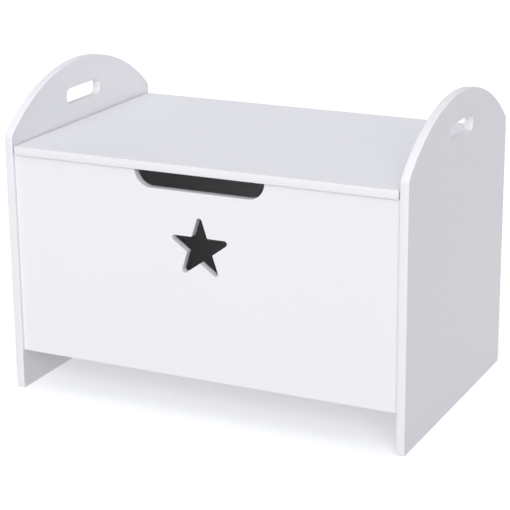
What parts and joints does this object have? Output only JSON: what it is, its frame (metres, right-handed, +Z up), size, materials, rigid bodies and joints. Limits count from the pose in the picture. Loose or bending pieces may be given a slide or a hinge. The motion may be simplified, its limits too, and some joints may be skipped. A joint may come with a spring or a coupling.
{
  "type": "toy box",
  "caption": "White lacquered toy box: arched side panels with hand holes, recessed front with a finger slot and a star cut-out, and a lid that swings up on hinges at the back.",
  "frame": {"origin": "centre of the bounding box's bottom face: on the floor, under the middle of the box", "axes": "+X to the right seen from the front (width), +Y from front to back (depth), +Z up"},
  "size_m": [0.6, 0.388, 0.45],
  "materials": {
    "white_lacquer": "white satin lacquer on fibreboard",
    "zinc_steel": "bright zinc plated",
    "stay_steel": "satin nickel plated",
    "black_plastic": "moulded, fine grain",
    "nylon": "natural nylon",
    "beech": "raw turned beech",
    "clear_rubber": "soft matt, translucent white"
  },
  "bodies": {
    "box": {"left_side_panel": "white_lacquer", "right_side_panel": "white_lacquer", "front_panel": "white_lacquer", "back_panel": "white_lacquer", "bottom_panel": "white_lacquer", "left_hinge_back_leaf": "zinc_steel", "right_hinge_back_leaf": "zinc_steel", "left_hinge_pin": "zinc_steel", "right_hinge_pin": "zinc_steel", "hinge_back_screws": "zinc_steel", "left_stay_guide": "stay_steel", "right_stay_guide": "stay_steel", "left_stay_washer": "nylon", "right_stay_washer": "nylon", "left_stay_nut": "black_plastic", "right_stay_nut": "black_plastic", "stay_guide_screws": "zinc_steel", "front_cam_locks": "zinc_steel", "back_cam_locks": "zinc_steel", "bottom_cam_locks": "zinc_steel", "left_cam_bolts": "zinc_steel", "right_cam_bolts": "zinc_steel", "front_dowels": "beech", "back_dowels": "beech", "bottom_dowels": "beech", "lid_bumpers": "clear_rubber"},
    "lid": {"lid": "white_lacquer", "left_hinge_lid_leaf": "zinc_steel", "right_hinge_lid_leaf": "zinc_steel", "hinge_lid_screws": "zinc_steel", "left_stay_arm": "stay_steel", "right_stay_arm": "stay_steel", "left_stay_lid_bracket": "stay_steel", "right_stay_lid_bracket": "stay_steel", "stay_rivets": "zinc_steel", "stay_lid_screws": "zinc_steel"}
  },
  "joints": [
    {"name": "lid_hinge", "type": "hinge", "parent": "box", "child": "lid", "pos_m": [0, 0.1915, 0.347], "axis": [-1, 0, 0], "range_deg": [0, 75]}
  ]
}
